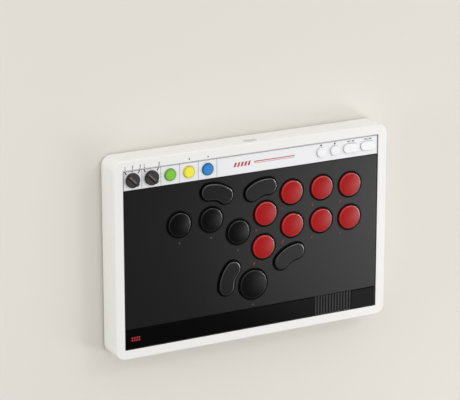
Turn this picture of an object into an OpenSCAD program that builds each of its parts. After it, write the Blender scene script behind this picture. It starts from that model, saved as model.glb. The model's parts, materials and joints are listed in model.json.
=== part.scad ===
// All-button arcade controller: a low desktop case with a white rim, sixteen action
// buttons on plunger switches, and a strip of two knobs and seven small buttons.
// X runs to the right, Y to the back edge, Z up. The origin is under the middle of
// the case, on the surface that the rubber feet stand on.

/* [Case] */
// Width of the case, side to side
body_w = 300; // [290:1:340]
// Depth of the case, front to back
body_d = 200; // [196:1:230]
// Height of the case without its feet
case_h = 28; // [27.5:0.5:36]
// Width of the white rim round the face
rim_w = 10; // [9:0.25:12]
// Thickness of the side walls
wall_t = 4.2; // [3:0.1:5]
// Rounding of the rim's outer top edge
edge_r = 1.25; // [0.75:0.25:3]
// Depth of the face below the rim
face_drop = 1; // [0.4:0.1:2]
// Thickness of the panel, the strip and the band
face_t = 3; // [2.2:0.1:3.4]
// Gap between neighbouring pieces of the face
seam = 0.4; // [0.2:0.05:0.8]
// Depth of the white strip along the back
strip_d = 20; // [19:0.5:22]
// Depth of the dark band along the front
band_d = 20; // [16:0.5:24]
// Thickness of the bottom cover
cover_t = 3; // [2.6:0.1:4]
// How far the feet stand below the cover
foot_proud = 2; // [1:0.25:4]
// Diameter of a rubber foot
foot_d = 18; // [12:0.5:24]

/* [Action buttons] */
// Length that the layout of the action buttons is laid out on
hand_span = 200; // [194:1:210]
// Diameter of the round action caps
cap_d = 24; // [21:0.25:25]
// Diameter of the large thumb cap
thumb_d = 29.6; // [24:0.25:32]
// Width of a bean cap across its bend
bean_w = 16; // [13:0.25:17]
// Distance between the two round ends of a bean cap
bean_chord = 19; // [16:0.5:21]
// Radius of the bend along the middle of a bean cap
bean_bend_r = 25; // [18:0.5:40]
// Height of the cap tops above the face
cap_proud = 2.6; // [2.4:0.1:5]
// Travel of an action button
cap_travel = 2.4; // [1.6:0.1:2.6]
// Wall of a cap
cap_wall = 1.5; // [1:0.1:2]
// Thickness of a cap's top
cap_roof = 2.2; // [1.6:0.1:2.6]
// Rounding of a cap's top edge
cap_edge_r = 1.3; // [0.6:0.1:1.8]
// Rise of a round cap's top towards its middle
cap_crown = 0.9; // [0.4:0.1:1.1]
// Gap between a cap and its guide ring
cap_gap = 0.35; // [0.3:0.05:0.5]
// Width of the ring's neck and flange together
ring_w = 1.6; // [1.3:0.05:1.8]
// Height of the ring's flange above the face
ring_proud = 0.5; // [0.3:0.1:0.9]

/* [Strip controls] */
// Width of one divided cell of the strip
cell_w = 20; // [19:0.5:22]
// Diameter of the coloured buttons
dot_d = 12; // [9:0.25:13]
// Diameter of the small round white buttons
round_d = 10; // [7:0.25:11]
// Length of the pill-shaped white buttons
pill_w = 17; // [13:0.25:17.4]
// Depth of the pill-shaped white buttons
pill_h = 9.4; // [7:0.2:11]
// Height of the small buttons above the strip
dot_proud = 1.6; // [1.2:0.1:2.4]
// Travel of a small button
dot_travel = 0.8; // [0.3:0.1:0.9]
// Diameter of the rotary knobs
knob_d = 14.5; // [12:0.25:16]
// Height of a knob's top above the strip
knob_proud = 4.6; // [4.2:0.1:6]
// Width of a knob's bar grip
grip_w = 3.8; // [3:0.1:4.6]

/* [Grille] */
// Number of ribs in the grille
rib_count = 13; // [9:1:15]
// Distance from rib to rib
rib_pitch = 3.3; // [2.8:0.1:3.8]
// Width of a rib
rib_w = 1.6; // [1:0.1:2]
// Place of the grille's middle, right of the case's middle
grille_x = 90.7; // [70:0.5:100]

/* [Hidden] */
$fn = 64;
over = 0.5; // overrun of every cut

// Colours of the pieces
white = "#F0F0EE";
charcoal = "#3A3A3C";
near_black = "#141416";
red = "#C32A28";
steel = "#A8ACB2";
board_green = "#1E5B3A";

// Clearances
slip_gap = 0.1; // round a neck or body that sits in its hole
stop_gap = 0.1; // below a stop that a moving piece rests under
run_gap = 0.2; // left at the end of a travel
bush_gap = 0.05; // round a shaft that turns
hole_gap = 0.15; // round a screw in a plate or board
grip_gap = 0.03; // round a post or shaft that is pressed home

// Case
recess_w = body_w - 2 * rim_w;
recess_d = body_d - 2 * rim_w;
shelf_w = 2.4; // width of the shelf that carries the face
shelf_t = 2.5;
bar_w = 5; // crossbars under the strip and the band
foot_edge_r = 1; // rounding of the case's outer bottom edge
rim_ease = 0.4; // chamfer along the rim's inner edge
rebate_w = 1; // wall left out for the cover
z_case = foot_proud;
z_rim = z_case + case_h;
z_face = z_rim - face_drop;
z_shelf = z_face - face_t;
z_cover = z_case + cover_t;
wall_in = rim_w - wall_t;

// Face pieces
ease = 0.35; // chamfer along a face piece's top edges
field_d = recess_d - strip_d - band_d;
field_y = (band_d - strip_d) / 2;
strip_y = (recess_d - strip_d) / 2;
band_y = (band_d - recess_d) / 2;
groove_w = 0.5; // lines that divide the strip into cells
groove_t = 0.4;
cell_count = 5;
grille_t = 1.6; // depth of the grille's pocket
grille_base_t = 0.5;
grille_margin = 0.9;

// Screws: pan heads with a hexagon socket
screw_r = 1.5;
screw_l = 8;
head_r = 2.8;
head_h = 1.7;
hex_r = 1.15;
hex_t = 1;
pilot_r = screw_r + bush_gap;
hole_r = screw_r + hole_gap;
sink_gap = 0.2;

// Case bosses, at the corners and along the front and back
boss_r = 4.5;
boss_out = 1.5; // how far the bosses stand outside the recess
boss_x = 60;
case_boss_at = [for (sx = [-1, 1], sy = [-1, 1], x = [boss_x, recess_w / 2 + boss_out])
    [sx * x, sy * (recess_d / 2 + boss_out)]];

// Bottom cover and feet
cover_gap = 0.2;
rib_t = 1.6;
rib_h = 2.6;
rib_margin = 8;
cover_rib_x_shares = [-0.34, -0.115, 0.115, 0.34];
cover_rib_y_shares = [-0.22, 0, 0.22];
foot_seat_t = 1;
foot_in_x = 18;
foot_in_y = 16;
foot_ease = 0.6;
foot_dish_r = 3;
foot_dish_t = 0.8;

// Layout of the action buttons, in shares of the hand span
red_shares = [[0.212, 0.2195], [0.3815, 0.2195], [0.5415, 0.213], [0.066, 0.131],
    [0.216, 0.0495], [0.38, 0.0495], [0.542, 0.043], [0.0555, -0.0385]];
black_shares = [[-0.405, 0.1435], [-0.233, 0.1435], [-0.085, 0.0585]];
thumb_shares = [-0.002, -0.224];
bean_shares = [[-0.199, 0.2785], [0.0345, 0.267], [-0.143, -0.1685], [0.194, -0.101]];
bean_turns = [-17.7, 14.3, 68.3, 26.8];
post_shares = [[-0.6, 0.29], [0.6, 0.29], [-0.6, -0.29], [0.6, -0.29], [-0.31, -0.06], [0.375, -0.15]];
stand_shares = [[-0.5, 0.2], [0.52, -0.08], [-0.5, -0.22], [0.45, -0.24], [-0.12, -0.05], [0.15, 0.13]];
red_at = red_shares * hand_span;
black_at = black_shares * hand_span;
thumb_at = thumb_shares * hand_span;
bean_at = bean_shares * hand_span;
post_at = post_shares * hand_span;
stand_at = stand_shares * hand_span;
switch_at = concat(red_at, black_at, [thumb_at], bean_at);
half_bend = asin(bean_chord / 2 / bean_bend_r);

// Caps and rings
cap_skirt = 8.2;
cap_top = z_face + cap_proud;
cap_low = cap_top - cap_skirt;
ring_neck_h = 5;
ring_lip = 0.9; // flange that overlaps the panel
ring_ease = 0.25;
cap_boss_r = 3.3;
cap_rib_t = 1;
cap_rib_h = 3.4;

// Plunger switches
lid_w = 13.8;
collar_w = 15.6;
collar_t = 1;
housing_h = 10.4;
floor_t = 1;
lip_t = 1;
well_w = 8.2;
slot_w = 6.3;
stem_w = 6;
stem_foot_w = 7.8;
stem_foot_h = 3;
cross_l = 4;
cross_t = 1.2;
cross_h = 3.8;
spring_r = 2.1;
wire_r = 0.2;
coil_turns = 4;
coil_steps = 8;
wire_sides = 4;
z_lid = cap_low - cap_travel - run_gap;
z_board = z_lid - housing_h;
z_stop = z_lid - lip_t - stop_gap;
z_stem_top = cap_low - stop_gap;

// Switch plate and main board
plate_t = 1.2;
plate_rise = 3;
plate_margin = 2;
plate_in = 9;
board_t = 1.6;
board_in = 1.5;
post_r = 3.5;
driver_r = 3.6;
stand_r = 3;
z_plate = z_board + plate_rise;
chip_w = 9;
chip_t = 1.2;
chip_shares = [0.36, -0.27];
chip_at = chip_shares * hand_span;

// Top board with the strip's switches
top_gap = 7; // height from the board to the underside of the strip
z_top = z_shelf - top_gap;
top_d = 13;
top_in = 4;
strip_post_r = 2.6;
strip_post_shares = [-0.107, 0.0714, 0.2214];
tongue_w = 14;
link_share = -0.105; // place of the plug row that joins the two boards
link_x = link_share * hand_span;
link_w = 14;
link_d = 3;
link_pad_w = 17;
link_pad_d = 6;
link_gap = 1;

// Small buttons and their switches
dot_gap = 0.25;
dot_edge_r = 0.5;
lug_w = 2.4;
lug_out = 0.7;
lug_t = 1.2;
tact_w = 6.2;
tact_h = 3.4;
tact_floor = 1;
tact_bore_r = 2;
dot_stem_r = 1.7;
pill_pitch = 19.7;
pill_end = 11.3; // from the strip's right end to the last pill's middle
pill_to_round = 18.3;
round_pitch = 15.4;
pill_x = [recess_w / 2 - pill_end - pill_pitch, recess_w / 2 - pill_end];
round_x = [pill_x[0] - pill_to_round - round_pitch, pill_x[0] - pill_to_round];
function cell_x(i) = -recess_w / 2 + (i + 1 / 2) * cell_w;
strip_post_x = concat([cell_x(1 / 2)], strip_post_shares * recess_w);
small_x = concat([cell_x(2), cell_x(3), cell_x(4)], round_x, pill_x);

// Rotary switches and knobs
rotary_w = 11;
rotary_h = 5;
rotary_floor = 1.2;
bush_r = 3.9;
bush_low = 0.4; // how far the bush ends below the strip's face
shaft_r = 3;
shaft_flat = 0.8;
shaft_proud = 2;
knob_lift = 0.3;
knob_base_h = 2.5;
knob_ease = 0.5;
grip_ease = 0.6;
knob_turn = 45;

// Socket in the back wall
usb_w = 8.94;
usb_h = 3.26;
usb_l = 7.4;
usb_skin = 0.3;
usb_depth = 5.5;
usb_tab_w = 6.7;
usb_tab_t = 0.7;
usb_gap = 0.15;
plug_w = 15; // pocket for the plug's grip
plug_h = 8.6;
plug_t = 5;
plug_skin = 2.4;
z_usb = z_top + usb_h / 2;
plug_y = body_d / 2 - plug_t;
block_y = plug_y - plug_skin;

// Plain shapes

module round_rect(w, d, r) {
    square([w - 2 * r, d], center = true);
    square([w, d - 2 * r], center = true);
    for (sx = [-1, 1], sy = [-1, 1]) translate([sx * (w / 2 - r), sy * (d / 2 - r)]) circle(r);
}

module slab(w, d, t, r) {
    linear_extrude(t) round_rect(w, d, r);
}

// A box that stands on z = 0, centred in X and Y
module block(w, d, t) {
    translate([-w / 2, -d / 2, 0]) cube([w, d, t]);
}

// A flat stadium that lies along X, extruded towards -Y from the origin
module stadium(w, h, l) {
    rotate([90, 0, 0]) linear_extrude(l) {
        square([w - h, h], center = true);
        for (s = [-1, 1]) translate([s * (w - h) / 2, 0]) circle(h / 2);
    }
}

// A rectangular plate with a chamfer along its top edges
module eased_plate(w, d, t) {
    difference() {
        block(w, d, t);
        for (q = [0, 1]) rotate(90 * q) {
            across = q == 0 ? w : d;
            along = (q == 0 ? d : w) + 2 * over;
            for (side = [0, 180]) rotate(side) translate([across / 2, along / 2, t]) rotate([90, 0, 0])
                linear_extrude(along) polygon([[-ease, over], [-ease, 0], [0, -ease], [over, -ease], [over, over]]);
        }
    }
}

// Sweeps a section round a rectangle: x in the section runs outwards from its edge
module rim_sweep(w, d) {
    for (q = [0:3]) rotate(90 * q) {
        across = q % 2 == 0 ? w : d;
        along = q % 2 == 0 ? d : w;
        translate([across / 2, along / 2, 0]) rotate([90, 0, 0]) linear_extrude(along) children();
        translate([across / 2, along / 2, 0]) rotate_extrude(angle = 90) children();
    }
}

// Sweeps half of a section along the bent middle line of a bean button
module bean_sweep() {
    translate([0, -bean_bend_r, 0]) {
        rotate(90 - half_bend) rotate_extrude(angle = 2 * half_bend) translate([bean_bend_r, 0]) {
            children();
            mirror([1, 0]) children();
        }
        rotate(90 + half_bend) translate([bean_bend_r, 0, 0]) rotate_extrude(angle = 180) children();
        rotate(90 - half_bend) translate([bean_bend_r, 0, 0]) rotate(180) rotate_extrude(angle = 180)
            children();
    }
}

// Case

module rim_section() {
    polygon([[0, z_shelf], [0, z_rim - rim_ease], [rim_ease, z_rim], [rim_w - edge_r, z_rim],
        [rim_w - edge_r, z_shelf]]);
    translate([0, z_shelf]) square([rim_w, z_rim - edge_r - z_shelf]);
    translate([rim_w - edge_r, z_rim - edge_r]) circle(edge_r);
    translate([wall_in, z_cover]) square([wall_t, z_rim - edge_r - z_cover]);
    translate([wall_in + rebate_w, z_case + foot_edge_r])
        square([wall_t - rebate_w, z_rim - edge_r - z_case - foot_edge_r]);
    translate([wall_in + rebate_w, z_case]) square([wall_t - rebate_w - foot_edge_r, foot_edge_r]);
    translate([rim_w - foot_edge_r, z_case + foot_edge_r]) circle(foot_edge_r);
}

module shelf() {
    half = rim_w - wall_t / 2;
    difference() {
        translate([0, 0, z_shelf - shelf_t]) slab(recess_w + 2 * half, recess_d + 2 * half, shelf_t, half);
        for (span = [
            [shelf_w - recess_d / 2, field_y - field_d / 2 - bar_w / 2],
            [field_y - field_d / 2 + bar_w / 2, field_y + field_d / 2 - bar_w / 2],
            [field_y + field_d / 2 + bar_w / 2, recess_d / 2 - shelf_w]])
            translate([shelf_w - recess_w / 2, span[0], z_shelf - shelf_t - over])
                cube([recess_w - 2 * shelf_w, span[1] - span[0], shelf_t + 2 * over]);
    }
}

module frame() {
    color(white) difference() {
        union() {
            rim_sweep(recess_w, recess_d) rim_section();
            shelf();
            for (p = case_boss_at) translate([p[0], p[1], z_cover]) cylinder(r = boss_r, h = z_shelf - z_cover);
            translate([0, (block_y + body_d / 2 - edge_r) / 2, z_usb - plug_h / 2 - plug_skin])
                block(plug_w + 2 * plug_skin, body_d / 2 - edge_r - block_y,
                    z_shelf - z_usb + plug_h / 2 + plug_skin);
        }
        for (p = case_boss_at) translate([p[0], p[1], z_cover - over])
            cylinder(r = pilot_r, h = screw_l + over);
        translate([0, body_d / 2 + over, z_usb]) stadium(plug_w, plug_h, plug_t + over);
        translate([0, body_d / 2, z_usb])
            stadium(usb_w + 2 * usb_gap, usb_h + 2 * usb_gap, plug_t + plug_skin + over);
    }
}

module bottom_cover() {
    out = wall_in + rebate_w - cover_gap;
    rib_w_all = recess_w - 2 * rib_margin;
    rib_d_all = recess_d - 2 * rib_margin;
    color(near_black) difference() {
        union() {
            translate([0, 0, z_case]) slab(recess_w + 2 * out, recess_d + 2 * out, cover_t, out);
            for (y = cover_rib_y_shares * recess_d) translate([0, y, z_case]) block(rib_w_all, rib_t, cover_t + rib_h);
            for (x = cover_rib_x_shares * recess_w) translate([x, 0, z_case]) block(rib_t, rib_d_all, cover_t + rib_h);
            for (p = stand_at) translate([p[0], p[1], z_case])
                cylinder(r = stand_r, h = z_board - board_t - z_case);
        }
        for (p = case_boss_at) translate([p[0], p[1], z_case - over]) {
            cylinder(r = hole_r, h = cover_t + 2 * over);
            cylinder(r = head_r + sink_gap, h = head_h + sink_gap + over);
        }
        for (p = foot_at()) translate([p[0], p[1], z_case - over])
            cylinder(d = foot_d + 2 * slip_gap, h = foot_seat_t + over);
    }
}

function foot_at() = [for (sx = [-1, 1], sy = [-1, 1])
    [sx * (recess_w / 2 - foot_in_x), sy * (recess_d / 2 - foot_in_y)]];

module feet() {
    h = foot_proud + foot_seat_t;
    color(charcoal) for (p = foot_at()) translate([p[0], p[1], 0]) rotate_extrude() difference() {
        polygon([[0, 0], [foot_d / 2 - foot_ease, 0], [foot_d / 2, foot_ease], [foot_d / 2, h], [0, h]]);
        translate([0, -over]) square([foot_dish_r, foot_dish_t + over]);
    }
}

// One screw with its head's underside on z = 0, driven in from below
module screw() {
    cylinder(r = screw_r, h = screw_l);
    difference() {
        translate([0, 0, -head_h]) cylinder(r = head_r, h = head_h);
        translate([0, 0, -head_h - over]) cylinder(r = hex_r, h = hex_t + over, $fn = 6);
    }
}

module screws() {
    color(steel) {
        for (p = case_boss_at) translate([p[0], p[1], z_case + head_h + sink_gap]) screw();
        for (p = post_at) translate([p[0], p[1], z_plate]) screw();
        for (x = strip_post_x) translate([x, strip_y, z_top - board_t]) screw();
    }
}

// Face

module control_panel() {
    color(charcoal) difference() {
        union() {
            translate([0, field_y, z_shelf]) eased_plate(recess_w - 2 * seam, field_d - seam, face_t);
            for (p = post_at) translate([p[0], p[1], z_plate + plate_t])
                cylinder(r = post_r, h = z_shelf + face_t / 2 - z_plate - plate_t);
        }
        for (p = concat(red_at, black_at)) translate([p[0], p[1], z_shelf - over])
            cylinder(r = neck_r(cap_d / 2) + slip_gap, h = face_t + 2 * over);
        translate([thumb_at[0], thumb_at[1], z_shelf - over])
            cylinder(r = neck_r(thumb_d / 2) + slip_gap, h = face_t + 2 * over);
        for (i = [0:3]) translate(bean_at[i]) rotate(bean_turns[i]) bean_sweep()
            translate([0, z_shelf - over]) square([neck_r(bean_w / 2) + slip_gap, face_t + 2 * over]);
        for (p = post_at) translate([p[0], p[1], z_plate + plate_t - over])
            cylinder(r = pilot_r, h = screw_l - plate_t + 2 * over);
    }
}

module front_band() {
    pocket_w = grille_w() + 2 * slip_gap;
    color(near_black) difference() {
        translate([0, band_y, z_shelf]) eased_plate(recess_w - 2 * seam, band_d - seam, face_t);
        translate([grille_x, band_y, z_face - grille_t]) block(pocket_w, band_d, grille_t + over);
    }
}

function grille_w() = (rib_count - 1) * rib_pitch + rib_w + 2 * grille_margin;

module grille_insert() {
    d = band_d - seam;
    color(charcoal) translate([grille_x, band_y, z_face - grille_t]) {
        block(grille_w(), d, grille_base_t);
        for (i = [0:rib_count - 1]) translate([(i - (rib_count - 1) / 2) * rib_pitch, 0, 0])
            block(rib_w, d, grille_t);
    }
}

module top_strip() {
    color(white) difference() {
        union() {
            translate([0, strip_y, z_shelf]) eased_plate(recess_w - 2 * seam, strip_d - seam, face_t);
            for (x = strip_post_x) translate([x, strip_y, z_top])
                cylinder(r = strip_post_r, h = top_gap + face_t / 2);
        }
        for (x = strip_post_x) translate([x, strip_y, z_top - over])
            cylinder(r = pilot_r, h = screw_l - board_t + 2 * over);
        for (i = [1:cell_count]) translate([-recess_w / 2 + i * cell_w, strip_y, z_face - groove_t])
            block(groove_w, strip_d, groove_t + over);
        for (i = [0, 1]) translate([cell_x(i), strip_y, z_shelf - over])
            cylinder(r = bush_r + slip_gap, h = face_t + 2 * over);
        for (i = [2:4]) translate([cell_x(i), strip_y, z_shelf - over])
            cylinder(r = dot_d / 2 + dot_gap, h = face_t + 2 * over);
        for (x = round_x) translate([x, strip_y, z_shelf - over])
            cylinder(r = round_d / 2 + dot_gap, h = face_t + 2 * over);
        for (x = pill_x) translate([x, strip_y, z_shelf - over]) linear_extrude(face_t + 2 * over)
            pill_outline(dot_gap);
    }
}

// Guide rings

function neck_r(half_w) = half_w + cap_gap + ring_w - ring_lip;

module ring_half(half_w) {
    r_in = half_w + cap_gap;
    r_out = r_in + ring_w;
    top = z_face + ring_proud;
    low = z_face - ring_neck_h;
    polygon([[r_in, low], [r_in, top - ring_ease], [r_in + ring_ease, top], [r_out - ring_ease, top],
        [r_out, top - ring_ease], [r_out, z_face], [neck_r(half_w), z_face], [neck_r(half_w), low]]);
}

module button_rings() {
    color(near_black) {
        for (p = concat(red_at, black_at)) translate(p) rotate_extrude() ring_half(cap_d / 2);
        translate(thumb_at) rotate_extrude() ring_half(thumb_d / 2);
        for (i = [0:3]) translate(bean_at[i]) rotate(bean_turns[i]) bean_sweep() ring_half(bean_w / 2);
    }
}

// Caps

// Half section of a cap with a rounded edge and a crowned top
module cap_half(r, crown) {
    e = cap_edge_r;
    if (crown > 0) {
        big = (r * r + crown * crown) / (2 * crown);
        rise = sqrt((big - e) * (big - e) - (r - e) * (r - e));
        zc = cap_top - big + rise;
        xt = (r - e) * big / (big - e);
        intersection() {
            translate([0, cap_top - big]) circle(big, $fn = 720);
            translate([0, cap_low]) square([xt, cap_skirt + over]);
        }
        translate([r - e, zc]) circle(e);
        translate([0, cap_low]) square([r, zc - cap_low]);
    } else {
        translate([0, cap_low]) square([r - e, cap_skirt]);
        translate([0, cap_low]) square([r, cap_skirt - e]);
        intersection() {
            translate([r - e, cap_top - e]) circle(e);
            translate([0, cap_top - e]) square([r, e]);
        }
    }
}

module cap_cavity_half(r) {
    translate([0, cap_low - over]) square([r - cap_wall, cap_skirt - cap_crown - cap_roof + over]);
}

// The boss that takes the stem, with its cross-shaped socket
module cap_boss() {
    difference() {
        translate([0, 0, cap_low]) cylinder(r = cap_boss_r, h = cap_skirt - cap_roof / 2 - cap_crown);
        translate([0, 0, cap_low - over]) block(cross_l + 2 * grip_gap, cross_t + 2 * grip_gap,
            cross_h + 2 * over);
        translate([0, 0, cap_low - over]) block(cross_t + 2 * grip_gap, cross_l + 2 * grip_gap,
            cross_h + 2 * over);
    }
}

module cap_ribs(l, w) {
    z = cap_top - cap_crown - cap_roof - cap_rib_h;
    difference() {
        union() {
            translate([0, 0, z]) block(l, cap_rib_t, cap_rib_h + cap_roof / 2);
            translate([0, 0, z]) block(cap_rib_t, w, cap_rib_h + cap_roof / 2);
        }
        translate([0, 0, z - over]) cylinder(r = cap_boss_r - cap_rib_t, h = cap_rib_h + cap_roof + over);
    }
}

module round_cap(p, d, tint) {
    span = d - cap_wall;
    color(tint) translate([p[0], p[1], 0]) {
        difference() {
            rotate_extrude() cap_half(d / 2, cap_crown);
            rotate_extrude() cap_cavity_half(d / 2);
        }
        cap_ribs(span, span);
        cap_boss();
    }
}

module bean_cap(i) {
    color(charcoal) translate([bean_at[i][0], bean_at[i][1], 0]) rotate(bean_turns[i]) {
        difference() {
            bean_sweep() cap_half(bean_w / 2, 0);
            bean_sweep() cap_cavity_half(bean_w / 2);
        }
        cap_ribs(bean_chord, bean_w - cap_wall);
        rotate(-bean_turns[i]) cap_boss();
    }
}

module red_cap(i) { round_cap(red_at[i], cap_d, red); }
module black_cap(i) { round_cap(black_at[i], cap_d, near_black); }
module thumb_cap() { round_cap(thumb_at, thumb_d, near_black); }

// Switches, plate and boards

module stem(p, tint) {
    color(tint) translate([p[0], p[1], 0]) {
        translate([0, 0, z_stop - stem_foot_h]) block(stem_foot_w, stem_foot_w, stem_foot_h);
        translate([0, 0, z_stop - stem_foot_h]) block(stem_w, stem_w, z_stem_top - z_stop + stem_foot_h);
        translate([0, 0, z_stem_top]) {
            block(cross_l, cross_t, cross_h);
            block(cross_t, cross_l, cross_h);
        }
    }
}

module switch_housings() {
    color(charcoal) for (p = switch_at) translate([p[0], p[1], z_board]) difference() {
        union() {
            block(lid_w, lid_w, housing_h);
            translate([0, 0, plate_rise + plate_t]) block(collar_w, collar_w, collar_t);
        }
        translate([0, 0, floor_t]) block(well_w, well_w, housing_h - floor_t - lip_t);
        translate([0, 0, housing_h - lip_t - over]) block(slot_w, slot_w, lip_t + 2 * over);
    }
}

// Points of one ring of the spring's wire, t steps along the coil
function wire_ring(t, z_low, rise) = let (a = 360 * t / coil_steps, z = z_low + rise * t)
    [for (k = [0:wire_sides - 1]) let (b = 360 * k / wire_sides, r = spring_r + wire_r * cos(b))
        [r * cos(a), r * sin(a), z + wire_r * sin(b)]];

module return_spring() {
    z_low = z_board + floor_t + wire_r + grip_gap;
    z_high = z_stop - stem_foot_h - wire_r - grip_gap;
    last = coil_turns * coil_steps;
    rise = (z_high - z_low) / last;
    pts = [for (t = [0:last]) each wire_ring(t, z_low, rise)];
    n = wire_sides;
    sides = [for (t = [0:last - 1], k = [0:n - 1]) let (a = t * n + k, b = t * n + (k + 1) % n)
        each [[a, a + n, b], [b, a + n, b + n]]];
    ends = [for (k = [1:n - 2]) each [[0, k, k + 1], [last * n, last * n + k + 1, last * n + k]]];
    polyhedron(points = pts, faces = concat(sides, ends));
}

module return_springs() {
    color(steel) for (p = switch_at) translate([p[0], p[1], 0]) return_spring();
}

module under_field(inset, t) {
    translate([0, field_y, 0])
        block(recess_w - 2 * plate_in - 2 * inset, field_d - 2 * plate_margin - 2 * inset, t);
}

module switch_plate() {
    color(steel) translate([0, 0, z_plate]) difference() {
        under_field(0, plate_t);
        for (p = switch_at) translate([p[0], p[1], -over])
            block(lid_w + 2 * slip_gap, lid_w + 2 * slip_gap, plate_t + 2 * over);
        for (p = post_at) translate([p[0], p[1], -over]) cylinder(r = hole_r, h = plate_t + 2 * over);
        translate([link_x, link_y(), -over]) block(link_w + 2 * link_gap, link_d + 2 * link_gap,
            plate_t + 2 * over);
    }
}

function link_y() = field_y + field_d / 2 - plate_margin - board_in - link_d;

module main_board() {
    color(board_green) {
        difference() {
            translate([0, 0, z_board - board_t]) under_field(board_in, board_t);
            for (p = post_at) translate([p[0], p[1], z_board - board_t - over])
                cylinder(r = driver_r, h = board_t + 2 * over);
        }
        translate([chip_at[0], chip_at[1], z_board - board_t / 2]) block(chip_w, chip_w, board_t / 2 + chip_t);
    }
}

module top_board() {
    color(board_green) {
        difference() {
            union() {
                translate([0, strip_y, z_top - board_t]) block(recess_w - 2 * top_in, top_d, board_t);
                translate([0, (strip_y + block_y - cover_gap) / 2, z_top - board_t])
                    block(tongue_w, block_y - cover_gap - strip_y, board_t);
                translate([link_x, (strip_y + link_y() - link_pad_d / 2) / 2, z_top - board_t])
                    block(link_pad_w, strip_y - link_y() + link_pad_d / 2, board_t);
            }
            for (x = strip_post_x) translate([x, strip_y, z_top - board_t - over])
                cylinder(r = hole_r, h = board_t + 2 * over);
        }
        translate([link_x, link_y(), z_board]) block(link_w, link_d, z_top - board_t / 2 - z_board);
    }
}

module tact_switches() {
    color(near_black) for (x = small_x) translate([x, strip_y, z_top]) difference() {
        block(tact_w, tact_w, tact_h);
        translate([0, 0, tact_floor]) cylinder(r = tact_bore_r, h = tact_h);
    }
}

module pill_outline(gap) {
    w = pill_w + 2 * gap;
    h = pill_h + 2 * gap;
    square([w - h, h], center = true);
    for (s = [-1, 1]) translate([s * (w - h) / 2, 0]) circle(h / 2);
}

// What every small button has below the strip: two lugs and the stem
module button_under(half_w) {
    z_lug = z_shelf - run_gap - lug_t;
    z_tip = z_top + tact_floor + dot_travel + run_gap;
    translate([0, 0, z_lug]) block(2 * (half_w + lug_out), lug_w, lug_t);
    translate([0, 0, z_tip]) cylinder(r = dot_stem_r, h = z_lug + lug_t - z_tip);
}

module dot_half(r) {
    z_low = z_shelf - run_gap - lug_t;
    top = z_face + dot_proud;
    e = dot_edge_r;
    translate([0, z_low]) square([r - e, top - z_low]);
    translate([0, z_low]) square([r, top - e - z_low]);
    intersection() {
        translate([r - e, top - e]) circle(e);
        translate([0, top - e]) square([r, e]);
    }
}

module dot_button(x, d, tint) {
    color(tint) translate([x, strip_y, 0]) {
        rotate_extrude() dot_half(d / 2);
        button_under(d / 2);
    }
}

module pill_button(i) {
    flat = pill_w - pill_h;
    color(white) translate([pill_x[i], strip_y, 0]) {
        translate([-flat / 2, 0, 0]) rotate([90, 0, 90]) linear_extrude(flat) {
            dot_half(pill_h / 2);
            mirror([1, 0]) dot_half(pill_h / 2);
        }
        for (s = [0, 1]) rotate(180 * s) translate([flat / 2, 0, 0]) rotate(-90)
            rotate_extrude(angle = 180) dot_half(pill_h / 2);
        rotate(90) button_under(pill_h / 2);
    }
}

// Rotary switches

module rotary_switches() {
    bush_h = z_face - bush_low - z_top;
    color(steel) for (i = [0, 1]) translate([cell_x(i), strip_y, z_top]) difference() {
        union() {
            block(rotary_w, rotary_w, rotary_h);
            cylinder(r = bush_r, h = bush_h);
        }
        translate([0, 0, rotary_floor]) cylinder(r = shaft_r + bush_gap, h = bush_h);
    }
}

// The shaft's outline has a flat, which the knob's socket matches
module d_outline(r, cut) {
    difference() {
        circle(r);
        translate([r - cut, -r]) square(2 * r);
    }
}

module shaft(i) {
    z_low = z_top + rotary_floor + stop_gap;
    z_flat = z_face - bush_low;
    color(steel) translate([cell_x(i), strip_y, 0]) {
        translate([0, 0, z_low]) cylinder(r = shaft_r, h = z_flat - z_low);
        translate([0, 0, z_flat]) linear_extrude(z_face + shaft_proud - z_flat) d_outline(shaft_r, shaft_flat);
    }
}

module knob(i) {
    r = knob_d / 2;
    z_low = z_face + knob_lift;
    z_high = z_face + knob_proud;
    color(near_black) translate([cell_x(i), strip_y, 0]) difference() {
        union() {
            translate([0, 0, z_low]) rotate_extrude() polygon([[0, 0], [r, 0], [r, knob_base_h - knob_ease],
                [r - knob_ease, knob_base_h], [0, knob_base_h]]);
            intersection() {
                translate([0, 0, z_low]) cylinder(r = r - knob_ease, h = z_high - z_low);
                rotate(knob_turn) translate([0, 0, z_low]) rotate([90, 0, 0]) translate([0, 0, -r])
                    linear_extrude(knob_d) polygon([[-grip_w / 2, 0], [grip_w / 2, 0],
                        [grip_w / 2, z_high - z_low - grip_ease], [grip_w / 2 - grip_ease, z_high - z_low],
                        [grip_ease - grip_w / 2, z_high - z_low], [-grip_w / 2, z_high - z_low - grip_ease]]);
            }
        }
        translate([0, 0, z_face - over]) linear_extrude(shaft_proud + stop_gap + over)
            d_outline(shaft_r + grip_gap, shaft_flat);
    }
}

module usb_socket() {
    color(steel) translate([0, plug_y, z_usb]) {
        difference() {
            stadium(usb_w, usb_h, usb_l);
            translate([0, over, 0]) stadium(usb_w - 2 * usb_skin, usb_h - 2 * usb_skin, usb_depth + over);
        }
        translate([0, -usb_l / 2 - usb_skin, -usb_tab_t / 2]) block(usb_tab_w, usb_l - 2 * usb_skin, usb_tab_t);
    }
}

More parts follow.
